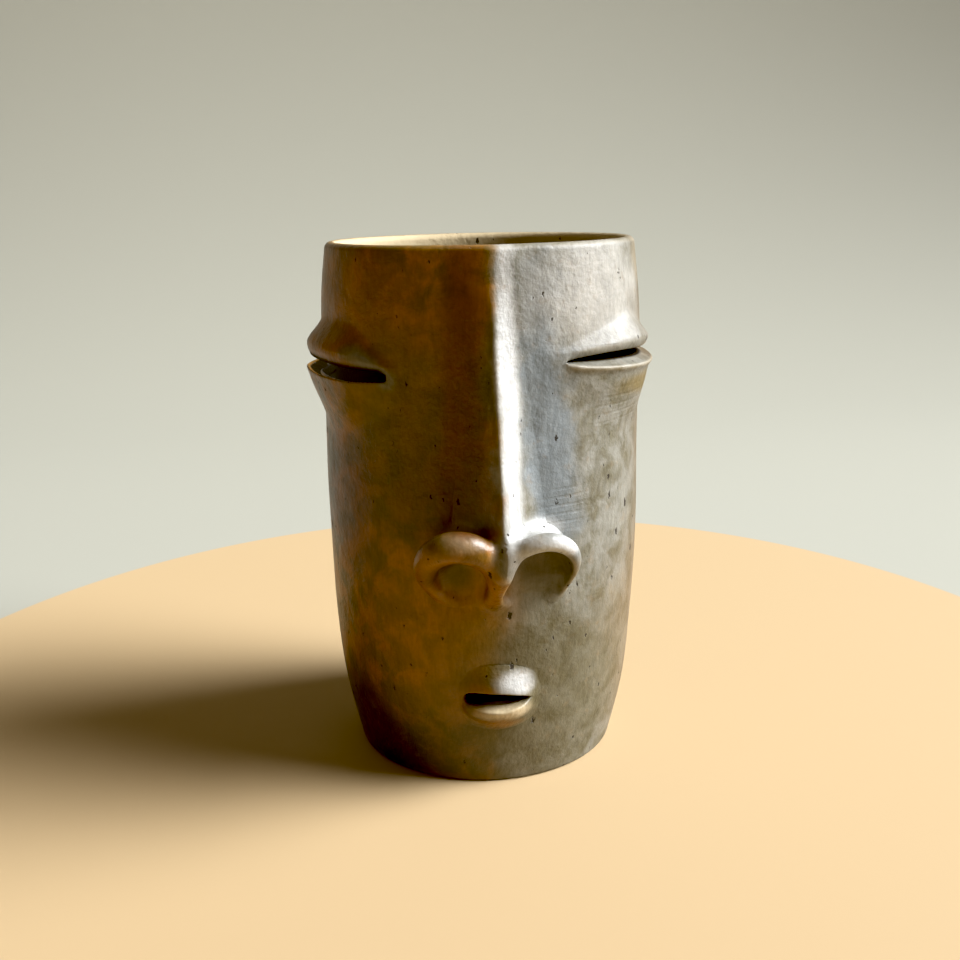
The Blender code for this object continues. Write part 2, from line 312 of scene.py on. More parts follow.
def new_piece(name, points, faces, normals, wear_highlight_and_shade, materials, shade_and_soot_depth=SHADE_AND_SOOT_DEPTH):
    """Mesh object of one clay piece that stands for its CAD node and rides on the mug."""
    mesh = bpy.data.meshes.new(name + "_clay")
    mesh.from_pydata((points * MM).tolist(), [], faces)
    mesh.shade_smooth()
    mesh.normals_split_custom_set_from_vertices(normals.tolist())
    for material in materials:
        mesh.materials.append(material)
    # Deep inside the clay, faces are darkened as soot and as painted shade, and take the less glossy inner
    # material.
    depth = -wall_field(points)
    inside = smooth_step(shade_and_soot_depth, shade_and_soot_depth + SHADE_AND_SOOT_BLEND, depth)
    inside = inside * smooth_step(*SHADE_AND_SOOT_HEIGHTS, points[:, 2])
    for label, values in (("wear_highlight_and_crease_shade", wear_highlight_and_shade), ("interior", inside)):
        mesh.attributes.new(label, "FLOAT", "POINT").data.foreach_set("value", values)
    deep_inside = inside > 0.5
    mesh.polygons.foreach_set("material_index", [int(deep_inside[face].all()) for face in faces])
    piece = bpy.data.objects.new(name + "_clay", mesh)
    bpy.context.scene.collection.objects.link(piece)
    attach(piece, "root")
    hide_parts(name)


def field_normals(field, points):
    """Unit slope of a field."""
    reach = 0.12
    ahead = [field(points + reach * axis) for axis in np.eye(3)]
    behind = [field(points - reach * axis) for axis in np.eye(3)]
    slope = np.stack(ahead, axis=1) - np.stack(behind, axis=1)
    return slope / (np.linalg.norm(slope, axis=1, keepdims=True) + 1e-12)


def settle(field, points, longest):
    """Points moved onto a field's zero surface, by no more than the longest step."""
    reach = 0.05
    for _ in range(2):
        value = field(points)
        slope = np.stack([field(points + reach * axis) - value for axis in np.eye(3)], axis=1) / reach
        move = -slope * (value / ((slope ** 2).sum(axis=1) + 1e-9))[:, None]
        size = np.linalg.norm(move, axis=1, keepdims=True)
        points = points + move * np.minimum(1, longest / (size + 1e-12))
    return points


def grid_values(field, axes):
    """A field's values on a grid, worked out one slab at a time."""
    values = np.empty([len(axis) for axis in axes])
    y, z = np.meshgrid(axes[1], axes[2], indexing="ij")
    for i, x in enumerate(axes[0]):
        slab = np.stack([np.full(y.size, x), y.ravel(), z.ravel()], axis=1)
        values[i] = field(slab).reshape(y.shape)
    return values


def crossing_middles(values, cells, corners):
    """Middle of the points where the surface crosses each cell's edges, in cells from the grid's start."""
    total, crossings = np.zeros((len(cells), 3)), np.zeros(len(cells))
    for axis in range(3):
        for start in corners:
            if start[axis]:
                continue
            a = cells + start
            b = a + np.eye(3, dtype=int)[axis]
            va, vb = values[tuple(a.T)], values[tuple(b.T)]
            crossed = (va < 0) != (vb < 0)
            share = np.where(crossed, va / np.where(crossed, va - vb, 1), 0)
            spot = np.array(start, float) + share[:, None] * np.eye(3)[axis]
            total += spot * crossed[:, None]
            crossings += crossed
    return cells + total / crossings[:, None]


def net_faces(inside, index):
    """Quads that join the vertices of the four cells round each crossed edge, facing out of the clay."""
    size = inside.shape
    faces = []
    for axis in range(3):
        u, v = (axis + 1) % 3, (axis + 2) % 3
        shape = [slice(None)] * 3
        shape[axis] = slice(0, -1)
        ahead = [slice(None)] * 3
        ahead[axis] = slice(1, None)
        edges = np.argwhere(inside[tuple(shape)] != inside[tuple(ahead)])
        edges = edges[(edges[:, u] > 0) & (edges[:, v] > 0)]
        edges = edges[(edges[:, u] < size[u] - 1) & (edges[:, v] < size[v] - 1)]
        step_u, step_v = np.eye(3, dtype=int)[u], np.eye(3, dtype=int)[v]
        turns = ((1, 1), (0, 1), (0, 0), (1, 0))
        quads = np.stack([index[tuple((edges - a * step_u - b * step_v).T)] for a, b in turns], axis=1)
        outward = inside[tuple(edges.T)]
        quads[~outward] = quads[~outward][:, ::-1]
        faces.append(quads)
    return np.concatenate(faces)


def surface_net(field, low, high, step):
    """Closed quad mesh of a field's zero surface: one vertex in each cell that the surface crosses."""
    values = grid_values(field, [np.arange(a, b + step, step) for a, b in zip(low, high)])
    inside = values < 0
    cells_x, cells_y, cells_z = [n - 1 for n in values.shape]
    corners = [(i, j, k) for i in (0, 1) for j in (0, 1) for k in (0, 1)]
    count = sum(inside[i:cells_x + i, j:cells_y + j, k:cells_z + k].astype(int) for i, j, k in corners)
    cells = np.argwhere((count > 0) & (count < len(corners)))
    index = np.full(count.shape, -1)
    index[tuple(cells.T)] = np.arange(len(cells))
    vertices = np.array(low) + step * crossing_middles(values, cells, corners)
    return vertices, net_faces(inside, index)


def sculpt(name, field, normal_field, low, high, step, materials, wear_and_shading, shade_and_soot_depth=SHADE_AND_SOOT_DEPTH):
    """One modelled piece: meshed, settled on its surface and shaded by the shared surface's slope."""
    vertices, faces = surface_net(field, low, high, step)
    vertices = settle(field, vertices, step / 3)
    normals = field_normals(normal_field, vertices)
    wear_highlight_and_shade = wear_and_shading * edge_bend(normal_field, vertices)
    new_piece(name, vertices, faces.tolist(), normals, wear_highlight_and_shade, materials, shade_and_soot_depth)


# ---- the turned pieces: foot, wall and rim ----

def column_angles():
    """Angles of the grid's columns, closer together over the face."""
    face = np.arange(-105, 105, 0.9)
    back = np.linspace(105, 255, 84)[:-1]
    return np.radians(np.concatenate([face, back]))


def grid_rows():
    """Shares across the foot and round its bevel, heights up the wall, and shares over the lip."""
    across = np.linspace(0, 1, 15)[:-1]
    bevel = np.linspace(0, 1, 5)
    low = np.linspace(FOOT_BEVEL, FLOOR_THICKNESS, 5)[1:]
    middle = np.linspace(FLOOR_THICKNESS, RIM_BOTTOM, 145)[1:]
    rim = np.linspace(RIM_BOTTOM, HEIGHT - WALL / 2, 7)[1:]
    lip = np.linspace(0, 1, 7)[1:]
    return across, bevel, np.concatenate([low, middle, rim]), lip


def level_ring(angles, radius, z):
    """Points at one height, with a distance from the axis for each angle."""
    x, y = radius * np.sin(angles), -radius * np.cos(angles)
    return np.stack([x, y, z + np.zeros_like(angles)], axis=1)


def foot_rows(angles, across, bevel):
    """Rows of the foot's underside and bevel, each with the row of the floor and its fillet above it."""
    foot = wall_radius(angles, 0 * angles + FOOT_BEVEL)
    floor_edge = wall_radius(angles, 0 * angles + FLOOR_THICKNESS + FLOOR_FILLET) - WALL
    rows = []
    for share in across:
        outer = level_ring(angles, (foot - FOOT_BEVEL) * share, 0)
        inner = level_ring(angles, (floor_edge - FLOOR_FILLET) * share, FLOOR_THICKNESS)
        rows.append((outer, inner, "base_disc"))
    for share in bevel:
        turn = share * math.pi / 2
        radius = foot - FOOT_BEVEL * (1 - math.sin(turn))
        outer = level_ring(angles, radius, FOOT_BEVEL * (1 - math.cos(turn)))
        inner_radius = floor_edge - FLOOR_FILLET * (1 - math.sin(turn * 0.5))
        inner_z = FLOOR_THICKNESS + FLOOR_FILLET * (1 - math.cos(turn * 0.5))
        inner = level_ring(angles, inner_radius, inner_z)
        rows.append((outer, inner, "base_disc"))
    return rows


def wall_rows(angles, heights):
    """Rows up the wall. Those inside start halfway up the floor's fillet."""
    inner_start = FLOOR_THICKNESS + FLOOR_FILLET * (1 - math.cos(math.pi / 4))
    share_up = (heights - heights[0]) / (heights[-1] - heights[0])
    inner_heights = inner_start + share_up * (heights[-1] - inner_start)
    rows = []
    for z, z_inside in zip(heights, inner_heights):
        outer = level_ring(angles, wall_radius(angles, z + 0 * angles), z)
        drop = np.clip((FLOOR_THICKNESS + FLOOR_FILLET - z_inside) / FLOOR_FILLET, 0, 1)
        fillet = FLOOR_FILLET * (1 - math.sqrt(max(0, 1 - drop ** 2)))
        inner = level_ring(angles, wall_radius(angles, z_inside + 0 * angles) - WALL - fillet, z_inside)
        label = "base_disc" if z <= FLOOR_THICKNESS else "body_wall" if z <= RIM_BOTTOM else "rim_coil"
        rows.append((outer, inner, label))
    return rows


def lip_rows(angles, lip):
    """Rows over the rim's round lip, from each side to its top."""
    half = WALL / 2
    lip_z = HEIGHT - half
    edge = wall_radius(angles, lip_z + 0 * angles) - half
    rows = []
    for share in lip:
        turn = share * math.pi / 2
        z = lip_z + half * math.sin(turn)
        outer = level_ring(angles, edge + half * math.cos(turn), z)
        rows.append((outer, level_ring(angles, edge - half * math.cos(turn), z), "rim_coil"))
    return rows


def turned_grids():
    """Outer and inner surface points of the whole vessel, and the label of each row."""
    angles = column_angles()
    across, bevel, heights, lip = grid_rows()
    rows = foot_rows(angles, across, bevel) + wall_rows(angles, heights) + lip_rows(angles, lip)
    outer, inner, labels = zip(*rows)
    return np.array(outer), np.array(inner), labels


def grid_normals(points):
    """Unit normals of a grid that closes round its second axis."""
    down = np.gradient(points, axis=0)
    round_the_mug = np.roll(points, -1, axis=1) - np.roll(points, 1, axis=1)
    normals = np.cross(round_the_mug, down)
    return normals / (np.linalg.norm(normals, axis=2, keepdims=True) + 1e-12)


def opening_cells(points):
    """True where the wall is left open behind the eyelids and the lips, which close it to a slit."""
    angle, _, z = polar(points)
    open_cells = np.abs(angle * MOUTH_RADIUS) < MOUTH_HALF_WIDTH + 1.0
    open_cells &= np.abs(z - MOUTH_Z) < MOUTH_HALF_HEIGHT + HOLE_MARGIN
    for eye in EYES.values():
        half = slit_half(eye, angle)
        open_cells |= (half > 0) & (np.abs(z - slit_z(eye, angle)) < half + HOLE_MARGIN)
    return open_cells


def make_turned_pieces(materials):
    """Foot, wall and rim, cut from one pair of grids so that their surfaces run on without a step."""
    outer, inner, labels = turned_grids()
    rows, columns = outer.shape[:2]
    out_normals, in_normals = grid_normals(outer), -grid_normals(inner)
    out_normals[0], in_normals[0] = (0, 0, -1), (0, 0, 1)
    middle = (outer[:-1] + outer[1:]) / 2
    middle = ((middle + np.roll(middle, -1, axis=1)) / 2).reshape(-1, 3)
    is_open = opening_cells(middle).reshape(rows - 1, columns)
    for name in ("base_disc", "body_wall", "rim_coil"):
        kept = np.array([label == name for label in labels[1:]])[:, None] & ~is_open
        make_shell(name, outer, inner, out_normals, in_normals, kept, materials)


def make_shell(name, outer, inner, out_normals, in_normals, kept, materials):
    """Closed body between the kept cells of two matching grids."""
    rows, columns = outer.shape[:2]
    number = np.arange(rows * columns).reshape(rows, columns)
    number[0] = number[0, 0]
    inside_number = number + rows * columns
    beside = np.roll(np.arange(columns), -1)

    def corner(i, j, down, along):
        return i + down, beside[j] if along else j

    i, j = np.nonzero(kept)
    quads = [
        np.stack([number[corner(i, j, *turn)] for turn in ((0, 0), (0, 1), (1, 1), (1, 0))], axis=1),
        np.stack([inside_number[corner(i, j, *turn)] for turn in ((0, 0), (1, 0), (1, 1), (0, 1))], axis=1),
    ]
    before_row = np.vstack([np.ones((1, columns), bool), kept[:-1]])
    after_row = np.vstack([kept[1:], np.zeros((1, columns), bool)])
    sides = [
        (~before_row, (0, 0), (0, 1)),
        (~after_row, (1, 1), (1, 0)),
        (~np.roll(kept, 1, axis=1), (1, 0), (0, 0)),
        (~np.roll(kept, -1, axis=1), (0, 1), (1, 1)),
    ]
    for edge, first, last in sides:
        i, j = np.nonzero(kept & edge)
        first, last = corner(i, j, *first), corner(i, j, *last)
        side = [number[first], inside_number[first], inside_number[last], number[last]]
        quads.append(np.stack(side, axis=1))
    quads = np.concatenate(quads)
    used, quads = np.unique(quads, return_inverse=True)
    points = np.concatenate([outer.reshape(-1, 3), inner.reshape(-1, 3)])[used]
    normals = np.concatenate([out_normals.reshape(-1, 3), in_normals.reshape(-1, 3)])[used]
    faces = [[v for n, v in enumerate(quad) if v != quad[n - 1]] for quad in quads.reshape(-1, 4).tolist()]
    height = points[:, 2]
    wear_highlight_and_shade = RIM_WEAR * smooth_step(HEIGHT - 2.2, HEIGHT - 0.8, height)
    wear_highlight_and_shade = wear_highlight_and_shade + FOOT_WEAR * smooth_step(FOOT_BEVEL, FOOT_BEVEL / 2, height)
    new_piece(name, points, faces, normals, wear_highlight_and_shade, materials)


# ---- nose ----

def ridge_outline(z):
    """The ridge's crest line and half width at a height, and how far it has dropped below its top."""
    drop = np.clip((RIDGE_TOP_Z - z) / (RIDGE_TOP_Z - TIP_Z), 0, 1)
    return 0.2 + 1.4 * drop, 5.5 + 9.5 * drop ** 0.8, drop


def ridge_field(points):
    """The long ridge: a crest from the rim to the tip, sharp to the left, with hollow flanks."""
    x, y, z = points.T
    angle = np.arctan2(x, -y)
    crest_x, half, drop = ridge_outline(z)
    proud = (TIP_RADIUS - FRONT_RADIUS - CORNER_PROUD) * 1.08 * drop ** 2 / (drop + 0.08)
    under = np.clip((TIP_Z + 1.5 - z) / 6.0, 0, 1)
    proud = proud * np.sqrt(1 - under ** 2)
    across = np.abs(x - crest_x) / half
    blunt = np.where(x < crest_x, 0.7 + 0.6 * drop, 1.2 + 1.8 * drop) / half
    away = np.clip(np.sqrt(across ** 2 + blunt ** 2) - blunt, 0, 1)
    hollow = np.where(x < crest_x, 1.8, 2.8)
    surface = wall_radius(angle, z) * np.cos(angle) + proud * (1 - away) ** hollow
    slope = proud * hollow * (1 - away) ** (hollow - 1) / half
    return (-y - surface) * np.cos(angle) / np.sqrt(1 + slope ** 2)


def ring_frame(ring):
    """A nostril ring's centre, and its unit axes: sideways, up its tilted face, and out of its face."""
    angle = math.radians(ring["angle"])
    sideways = np.array([math.cos(angle * 0.75), math.sin(angle * 0.75), 0])
    outward = np.cross(sideways, (0, 0, 1))
    upward = math.cos(RING_TILT) * np.array([0, 0, 1.0]) + math.sin(RING_TILT) * outward
    return on_mug(angle, ring["radius"], ring["z"]), np.array([sideways, upward, np.cross(sideways, upward)])


def wing_field(points, ring):
    """Rolled ring on a neck that runs level back into the wall, before its cup is hollowed out."""
    centre, (sideways, upward, normal) = ring_frame(ring)
    outward = np.cross(sideways, (0, 0, 1))
    half = np.array(ring["half"])

    def from_ring(flat):
        near = np.linalg.norm(flat / half, axis=1)
        return near * (near - 1) / (np.linalg.norm(flat / half ** 2, axis=1) + 1e-9)

    offset = points - centre
    ahead = offset @ normal
    flat = np.stack([offset @ sideways, offset @ upward], axis=1)
    tube = ring["tube"] * (0.76 + 0.3 * flat[:, 1] / half[1])
    roll = np.hypot(from_ring(flat), ahead) - tube
    behind = -ahead / (outward @ normal)
    shadow = offset + behind[:, None] * outward
    neck = from_ring(np.stack([shadow @ sideways, shadow @ upward], axis=1)) - NECK_SHARE * tube
    neck = smooth_max(neck, 0.6 - behind, 2.0)
    return smooth_min(roll, neck, 2.5)


def cup_field(points, ring):
    """The open nostril cup inside a ring."""
    centre, axes = ring_frame(ring)
    return ellipsoid(points, centre + ring["cup_shift"] @ axes, axes, np.array(ring["cup"]))


def septum_field(points):
    """Bar from the tip down to the wall between the cups."""
    return capsule(points, np.array(SEPTUM_TOP), np.array(SEPTUM_FOOT), *SEPTUM_RADII)


def nose_parts(points):
    """Fields of the four nose pieces before they are blended."""
    return {
        "nose_bridge": ridge_field(points),
        "nose_wing_left": wing_field(points, RING["left"]),
        "nose_wing_right": wing_field(points, RING["right"]),
        "nose_septum": septum_field(points),
    }


def nose_field(points, parts, wall):
    """All of the nose with the wall, blended and hollowed."""
    total = np.minimum(wall, parts["nose_bridge"])
    for name, fillet in NOSE_FILLET.items():
        total = smooth_min(total, parts[name], fillet)
    for ring in RING.values():
        cup = smooth_max(cup_field(points, ring), CUP_FLOOR - wall, CUP_FLOOR_FILLET)
        total = smooth_max(total, -cup, ring["cup_edge"])
    return total


def make_nose(materials):
    """Ridge, septum and wings, parted along the creases between them."""
    boxes = {
        "nose_bridge": ((-19, -76, 71), (20, -40, RIM_BOTTOM + 1)),
        "nose_septum": ((-10, -74, 54), (10, -42, 92)),
        "nose_wing_left": ((-34, -78, 54), (8, -38, 98)),
        "nose_wing_right": ((-8, -78, 54), (35, -38, 98)),
    }

    def shared(points):
        return nose_field(points, nose_parts(points), wall_field(points))

    for name, (low, high) in boxes.items():
        def piece(points, name=name):
            parts = nose_parts(points)
            wall = wall_field(points)
            own = parts[name]
            others = np.min([field for other, field in parts.items() if other != name], axis=0)
            bridge_sink = SINK * (1 - smooth_step(0.02, 0.3, wall - parts["nose_bridge"]))
            sunk_parts = parts | {"nose_bridge": parts["nose_bridge"] + bridge_sink}
            sunk = nose_field(points, sunk_parts, wall + SINK)
            if name == "nose_bridge":
                crest_x, half, _ = ridge_outline(points[:, 2])
                body = np.maximum(sunk, np.abs(points[:, 0] - crest_x) - half)
                body = np.maximum(body, points[:, 2] - RIDGE_TOP_Z)
                body = np.maximum(body, TIP_Z - 6 - points[:, 2])
            else:
                past = (own - others) / 2
                sunk = sunk + SINK * smooth_step(-0.3, 0.1, past)
                body = np.maximum(sunk, past - NOSE_OVERLAP)
                body = np.maximum(body, own - NOSE_REACH)
            return np.maximum(body, -NOSE_ROOT - wall)

        sculpt(name, piece, shared, low, high, NOSE_STEP, materials, NOSE_WEAR_AND_SHADING[name])


# ---- eyelids ----

def make_eyelids(side, eye, materials):
    """Both lids of one eye: the wall's own surface, curled in above the slit and rolled out below it."""
    first, last = sorted((eye["inner"], eye["outer"]))

    def fields(points):
        angle, radius, z = polar(points)
        beyond = np.abs(angle - np.clip(angle, first, last)) * FRONT_RADIUS
        height = z - slit_z(eye, angle)
        half = slit_half(eye, angle)
        from_edge = np.hypot(np.maximum(np.abs(height) - half, 0), beyond)
        fade = smooth_step(0, math.radians(6), np.minimum(angle - first, last - angle) + math.radians(2))
        curl = np.where(height > 0, -LID_CURL, eye["roll"]) * fade
        curl = curl * np.exp(-(from_edge / LID_EDGE_REACH) ** 2)
        border = smooth_step(LID_BAND - 2.5, LID_BAND - 1.0, from_edge)
        skin = wall_radius(angle, z)
        outside = radius - skin - curl + SINK * border
        inside = skin - WALL - 0.25 + 0.4 * border - radius
        depth = np.clip(skin - radius, -1.5, WALL)
        share = np.clip(eye_share(eye, angle), 0, 1)
        open_share = half / eye["half_height"]
        roof = half - eye["bevel"] * share * open_share * depth
        ground = -half + eye["sill"] * open_share * depth
        slit = np.minimum(roof - height, height - ground) * 0.85
        shell = smooth_max(np.maximum(outside, inside), np.where(half > 0, slit, -3), eye["edge"])
        return shell, height, from_edge

    def shared(points):
        return fields(points)[0]

    reach = math.radians(9)
    corner = [on_mug(turn, r, 0) for turn in np.linspace(first - reach, last + reach, 12) for r in (44, 61)]
    low, high = np.min(corner, axis=0) - 1, np.max(corner, axis=0) + 1
    middle = (eye["z_inner"] + eye["z_outer"]) / 2
    low[2], high[2] = middle - 13, middle + 13
    for level, sign in (("upper", 1), ("lower", -1)):
        def piece(points, sign=sign):
            shell, height, from_edge = fields(points)
            return np.maximum(np.maximum(shell, from_edge - LID_BAND), -sign * height)

        sculpt(f"eyelid_{level}_{side}", piece, shared, low, high, LID_STEP, materials,
               eye["wear_and_shading"], eye["shade_and_soot_depth"])


# ---- lips ----

def make_lips(materials):
    """Upper lip as a soft mound, lower lip as a crescent ledge in front of the slit."""
    mound_x, mound_z = UPPER_LIP_HALF

    def fields(points):
        angle, radius, z = polar(points)
        x = angle * LIP_RADIUS
        proud = radius - wall_radius(angle, z)
        from_slit = ((x - 1.0) / mound_x) ** 2 + ((z - MOUTH_Z) / mound_z) ** 2
        mound = UPPER_LIP_PROUD * np.clip(1 - from_slit, 0, 1) ** 2
        flat = np.stack([x, proud, z], axis=1)
        lower = ellipsoid(flat, np.array(LOWER_LIP_PLACE), np.eye(3), np.array(LOWER_LIP_HALF))
        from_middle = np.hypot(x / 1.5, z - MOUTH_Z)
        wall = (proud - mound + SINK * smooth_step(8.5, 10.5, from_middle)) * 0.8
        outside = np.where(z > MOUTH_Z, wall, smooth_min(wall, lower, 1.0))
        inside = -WALL - 0.3 - proud
        leaf = np.clip(1 - (x / MOUTH_HALF_WIDTH) ** 2, 0, 1) ** np.where(x < 0, 0.35, 0.7)
        roof = MOUTH_Z + MOUTH_HALF_HEIGHT * leaf + MOUTH_ARCH * leaf ** 3 - MOUTH_DROP * x
        drop = LOWER_LIP_SLOPE * np.maximum(proud - LEDGE_START, 0)
        drop = drop + LOWER_LIP_BACK_SLOPE * np.maximum(LEDGE_START - proud, 0)
        ground = MOUTH_Z - MOUTH_HALF_HEIGHT * leaf - drop * leaf
        slit = np.maximum(np.maximum(z - roof, ground - z), np.abs(x) - MOUTH_HALF_WIDTH)
        shell = smooth_max(np.maximum(outside, inside), -slit, MOUTH_EDGE)
        return shell, z - MOUTH_Z + MOUTH_DROP * x, from_middle

    def shared(points):
        return fields(points)[0]

    low, high = np.array([-18.5, -62.0, MOUTH_Z - 13]), np.array([18.5, -40.0, MOUTH_Z + 13])
    for level, sign in (("upper", 1), ("lower", -1)):
        def piece(points, sign=sign):
            shell, height, from_middle = fields(points)
            return np.maximum(np.maximum(shell, from_middle - LIP_REACH), -sign * height)

        sculpt(level + "_lip", piece, shared, low, high, LIP_STEP, materials, LIP_WEAR_AND_SHADING)


# ---- material ----

# Linear colours of the smoke-fired clay, and of the sheen, highlights and shade painted on it.
OCHRE = (0.21, 0.085, 0.003)
OLIVE = (0.095, 0.058, 0.002)
# Painted shade: dark olive in the nostril cups.
CUP_SHADE = (0.042, 0.022, 0.001)
RED_BROWN = (0.075, 0.02, 0.003)
# Soot black, also used as painted shade in creases.
SOOT_AND_SHADE = (0.008, 0.003, 0.0015)
# Painted sheen: pale grey of the window's reflection, on the lit side and along the left upper lid.
SHEEN_GREY = (0.135, 0.128, 0.105)
# Painted sheen: paler grey where the window's reflection is brightest, on the forehead.
FOREHEAD_SHEEN = (0.23, 0.215, 0.185)
# Painted reflection: cool blue-grey of the window in the hollow right of the ridge.
VALLEY_REFLECTION_BLUE = (0.115, 0.132, 0.142)
OLIVE_GREY = (0.075, 0.062, 0.03)
# Cream of the clay, also used for painted highlights on edges and the lower lip and for painted light inside
# the rim.
CREAM = (0.40, 0.32, 0.20)
# Painted highlight: near-white grey on the ridge's crest, the right ring's top and the upper lip.
HIGHLIGHT_GREY = (0.38, 0.375, 0.36)
TAN = (0.12, 0.076, 0.032)
EDGE_TAN = (0.075, 0.048, 0.02)
# Inside the mug: near-black soot and painted shade deep down, then brown.
INNER_SOOT_AND_SHADE = (0.002, 0.001, 0.0007)
INNER_BROWN = (0.03, 0.016, 0.006)

# Heights inside the mug over which the soot and painted shade turn brown, and the brown turns to cream,
# painted window light, at the rim.
BROWN_HEIGHTS = (126, 152)
INNER_LIGHT_HEIGHTS = (144, 167)

CLAY_IOR = 1.62
BURNISHED_GLOSS = 0.34
INNER_GLOSS = 0.05
BASE_ROUGHNESS = 0.22

# Pits: cell size in millimetres, share of the cells that have one, and how the cells are stretched upwards.
LARGE_PITS = (3.6, 0.2, 0.45)
SMALL_PITS = (1.9, 0.2, 0.5)
PIT_SHIFT = (2.7, 0.0, 21.9)

# The clouds lie on a cylinder of this radius and drift by noise. Clouds under the small sizes drift less.
CLOUD_RADIUS = 51.0
SMALL_ACROSS = 8
SMALL_UP = 12
WIDE_DRIFT = 22
SMALL_DRIFT = 5

# Colour clouds: place on the mug (angle in degrees, height), half sizes across and up, colour and strength.
# Most are smoke clouds of the firing; those marked are painted light and shade.
CLOUDS = [
    (-60, 150, 34, 26, OCHRE, 0.75),
    (-30, 120, 22, 34, OLIVE, 0.8),
    # Painted shade: dark red-brown down the ridge's unlit left flank.
    (-10, 138, 7, 46, RED_BROWN, 0.8),
    (-9, 100, 9, 26, RED_BROWN, 0.85),
    (-62, 92, 22, 26, RED_BROWN, 0.55),
    # Darker left of the nose.
    (-24, 98, 16, 18, SOOT_AND_SHADE, 0.35),
    (-20, 52, 26, 30, OCHRE, 0.6),
    (-58, 10, 40, 26, SOOT_AND_SHADE, 0.9),
    (-22, 8, 24, 15, SOOT_AND_SHADE, 0.5),
    (-12, 70, 16, 16, OCHRE, 0.7),
    # Painted reflection of the window in the hollow right of the ridge.
    (17, 128, 9, 44, VALLEY_REFLECTION_BLUE, 0.9),
    (22, 98, 10, 22, VALLEY_REFLECTION_BLUE, 0.8),
    # Painted sheen on the forehead.
    (42, 154, 30, 18, FOREHEAD_SHEEN, 0.9),
    (80, 163, 14, 9, CREAM, 0.4),
    (92, 110, 31, 95, EDGE_TAN, 0.95),
    (72, 40, 30, 46, TAN, 0.6),
    (20, 30, 40, 40, OLIVE_GREY, 0.7),
    # Painted highlights: the ridge's crest and the top of the right ring.
    (4.8, 125, 3.7, 62, HIGHLIGHT_GREY, 0.9),
    (7, 88, 5, 4, HIGHLIGHT_GREY, 0.7),
    (15, 87, 8, 4, HIGHLIGHT_GREY, 0.85),
    (-10, 88.5, 6, 3, CREAM, 0.3),
    (-15, 78, 12, 9, OCHRE, 0.6),
    # Painted shade in the hollows of both nostril cups.
    (-13, 75, 7, 7, CUP_SHADE, 0.9),
    (14, 77, 8, 7, CUP_SHADE, 0.75),
    (-1, 71, 5, 7, OCHRE, 0.8),
    # Painted highlight: a streak of sheen down the left upper lid towards its inner corner.
    (-49, 139.5, 4, 2.5, SHEEN_GREY, 0.7),
    (-45.5, 137.8, 4, 2.5, SHEEN_GREY, 0.8),
    (-42, 136, 4, 2.5, SHEEN_GREY, 0.9),
    (-38.5, 133.8, 3.5, 2.5, SHEEN_GREY, 0.9),
    (-35, 131.5, 3, 3.5, SHEEN_GREY, 0.8),
    (66, 136.5, 15, 1.6, TAN, 0.7),
    # Painted shadow under the rolled lower lid of the right eye.
    (62, 127, 17, 4, OLIVE, 0.75),
    # Painted highlight on the upper lip.
    (7, 38, 6.5, 4.5, HIGHLIGHT_GREY, 0.9),
    (-6, 36, 6, 2.5, OCHRE, 0.7),
    # The lower lip's cream colour, brightened as a painted highlight.
    (3, 29, 9, 3, CREAM, 0.95),
    (0, 24.5, 9, 2.5, OCHRE, 0.7),
    (140, 110, 46, 50, OLIVE, 0.7),
    (200, 60, 50, 40, SOOT_AND_SHADE, 0.7),
    (235, 140, 40, 30, OCHRE, 0.6),
]


def add_node(tree, kind, inputs, **settings):
    """New node with its settings made and its inputs set or linked."""
    node = tree.nodes.new(kind)
    for name, value in settings.items():
        setattr(node, name, value)
    for name, value in inputs.items():
        if isinstance(value, bpy.types.NodeSocket):
            tree.links.new(value, node.inputs[name])
        else:
            node.inputs[name].default_value = value
    return node


def calculate(tree, operation, a, b):
    """Result of one sum on numbers."""
    return add_node(tree, "ShaderNodeMath", {0: a, 1: b}, operation=operation).outputs[0]


def total_of(tree, terms):
    """Sum of weighted numbers."""
    total = 0.0
    for weight, value in terms:
        total = calculate(tree, "ADD", total, calculate(tree, "MULTIPLY", value, weight))
    return total


def vector_sum(tree, operation, a, b):
    """Result of one sum on vectors."""
    return add_node(tree, "ShaderNodeVectorMath", {0: a, 1: b}, operation=operation).outputs["Vector"]


def span(tree, value, low, high):
    """Smooth 0 to 1 as a value goes from low to high."""
    inputs = {"Value": value, "From Min": low, "From Max": high}
    return add_node(tree, "ShaderNodeMapRange", inputs, interpolation_type="SMOOTHSTEP").outputs["Result"]


def noise(tree, place, size, detail=3.0, roughness=0.55, distortion=0.0):
    """Cloudy noise with features about size millimetres wide, as its node."""
    inputs = {"Vector": place, "Scale": 1 / size, "Detail": detail, "Roughness": roughness}
    return add_node(tree, "ShaderNodeTexNoise", inputs | {"Distortion": distortion})


def blend(tree, share, a, b):
    """Mix of two colours."""
    inputs = {0: share, 6: (*a, 1) if isinstance(a, tuple) else a, 7: (*b, 1) if isinstance(b, tuple) else b}
    return add_node(tree, "ShaderNodeMix", inputs, data_type="RGBA").outputs[2]


